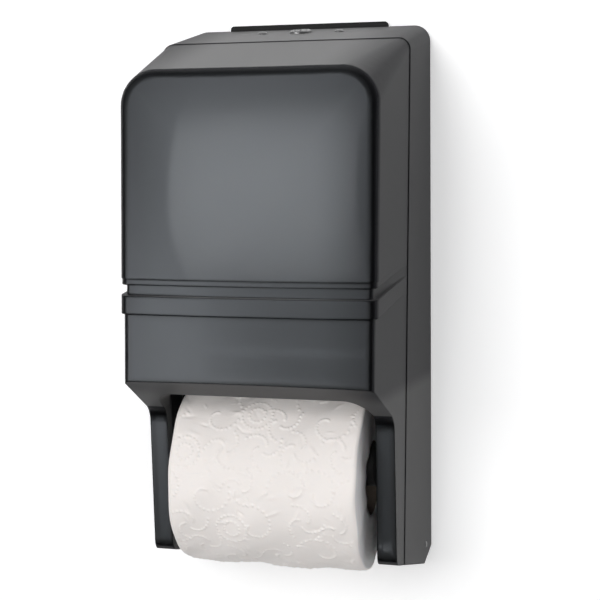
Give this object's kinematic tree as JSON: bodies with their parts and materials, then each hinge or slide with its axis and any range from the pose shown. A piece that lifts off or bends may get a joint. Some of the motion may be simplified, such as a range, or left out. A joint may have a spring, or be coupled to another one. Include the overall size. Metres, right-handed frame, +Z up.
{
  "type": "two-roll toilet paper dispenser",
  "caption": "Wall-held washroom cabinet with a smoked hinged cover; one paper roll hangs in the lower mouth and a reserve roll waits above it on side tracks.",
  "frame": {"origin": "centre of the four wall-screw holes, on the plane where the back plate meets the wall", "axes": "+X to the right seen from the front, +Y into the wall, +Z up"},
  "size_m": [0.1616, 0.144, 0.3323],
  "materials": {
    "smoke_plastic": "fine satin, dark translucent",
    "black_plastic": "fine grain",
    "grey_plastic": "moulded",
    "spindle_plastic": "moulded",
    "spring_steel": "drawn wire",
    "core_board": "spiral wound",
    "tissue": "embossed",
    "nickel": "satin nickel plate",
    "zinc_steel": "zinc plate",
    "plate_steel": "pressed sheet"
  },
  "bodies": {
    "chassis": {"wall_plate": "black_plastic", "left_track": "black_plastic", "right_track": "black_plastic", "strike": "plate_steel", "left_hinge_pin": "nickel", "right_hinge_pin": "nickel", "left_catch_pin": "zinc_steel", "right_catch_pin": "zinc_steel", "lower_strike_screw": "zinc_steel", "upper_strike_screw": "zinc_steel", "left_lower_track_screw": "zinc_steel", "left_middle_track_screw": "zinc_steel", "left_upper_track_screw": "zinc_steel", "right_lower_track_screw": "zinc_steel", "right_middle_track_screw": "zinc_steel", "right_upper_track_screw": "zinc_steel"},
    "cover": {"cover": "smoke_plastic", "lock_housing": "nickel", "lock_nut": "plate_steel", "lock_plate": "plate_steel", "left_rivet": "nickel", "right_rivet": "nickel"},
    "lock": {"lock_plug": "nickel", "lock_cam": "plate_steel", "cam_screw": "zinc_steel"},
    "catch_bail": {"left_catch": "grey_plastic", "right_catch": "grey_plastic", "trip_bar": "zinc_steel"},
    "lower_spindle": {"lower_spindle_sleeve": "spindle_plastic", "lower_spindle_spring": "spring_steel"},
    "lower_plunger": {"lower_spindle_plunger": "spindle_plastic"},
    "lower_roll": {"lower_core": "core_board", "lower_paper": "tissue"},
    "reserve_spindle": {"reserve_spindle_sleeve": "spindle_plastic", "reserve_spindle_spring": "spring_steel"},
    "reserve_plunger": {"reserve_spindle_plunger": "spindle_plastic"},
    "reserve_roll": {"reserve_core": "core_board", "reserve_paper": "tissue"}
  },
  "joints": [
    {"name": "cover_hinge", "type": "hinge", "parent": "chassis", "child": "cover", "pos_m": [0, -0.014, -0.1538], "axis": [1, 0, 0], "range_deg": [0, 95]},
    {"name": "lock_turn", "type": "hinge", "parent": "cover", "child": "lock", "pos_m": [0, -0.022, 0.15907], "axis": [0, -0.2523, 0.9676], "range_deg": [-90, 0]},
    {"name": "catch_swing", "type": "hinge", "parent": "chassis", "child": "catch_bail", "pos_m": [0, -0.061, 0.099], "axis": [1, 0, 0], "range_deg": [0, 16]},
    {"name": "lower_spindle_spin", "type": "hinge", "parent": "chassis", "child": "lower_spindle", "pos_m": [0, -0.059, -0.0968], "axis": [1, 0, 0], "continuous": true},
    {"name": "lower_plunger_press", "type": "slide", "parent": "lower_spindle", "child": "lower_plunger", "axis": [1, 0, 0], "range_m": [-0.006, 0], "stiffness_N_per_m": 250, "springref_m": 0.004, "deforming": ["lower_spindle_spring"]},
    {"name": "lower_roll_spin", "type": "hinge", "parent": "chassis", "child": "lower_roll", "pos_m": [0, -0.059, -0.1045], "axis": [1, 0, 0], "continuous": true},
    {"name": "reserve_spindle_spin", "type": "hinge", "parent": "chassis", "child": "reserve_spindle", "pos_m": [0, -0.059, 0.0707], "axis": [1, 0, 0], "continuous": true},
    {"name": "reserve_plunger_press", "type": "slide", "parent": "reserve_spindle", "child": "reserve_plunger", "axis": [1, 0, 0], "range_m": [-0.006, 0], "stiffness_N_per_m": 250, "springref_m": 0.004, "deforming": ["reserve_spindle_spring"]},
    {"name": "reserve_roll_spin", "type": "hinge", "parent": "chassis", "child": "reserve_roll", "pos_m": [0, -0.059, 0.063], "axis": [1, 0, 0], "continuous": true}
  ]
}
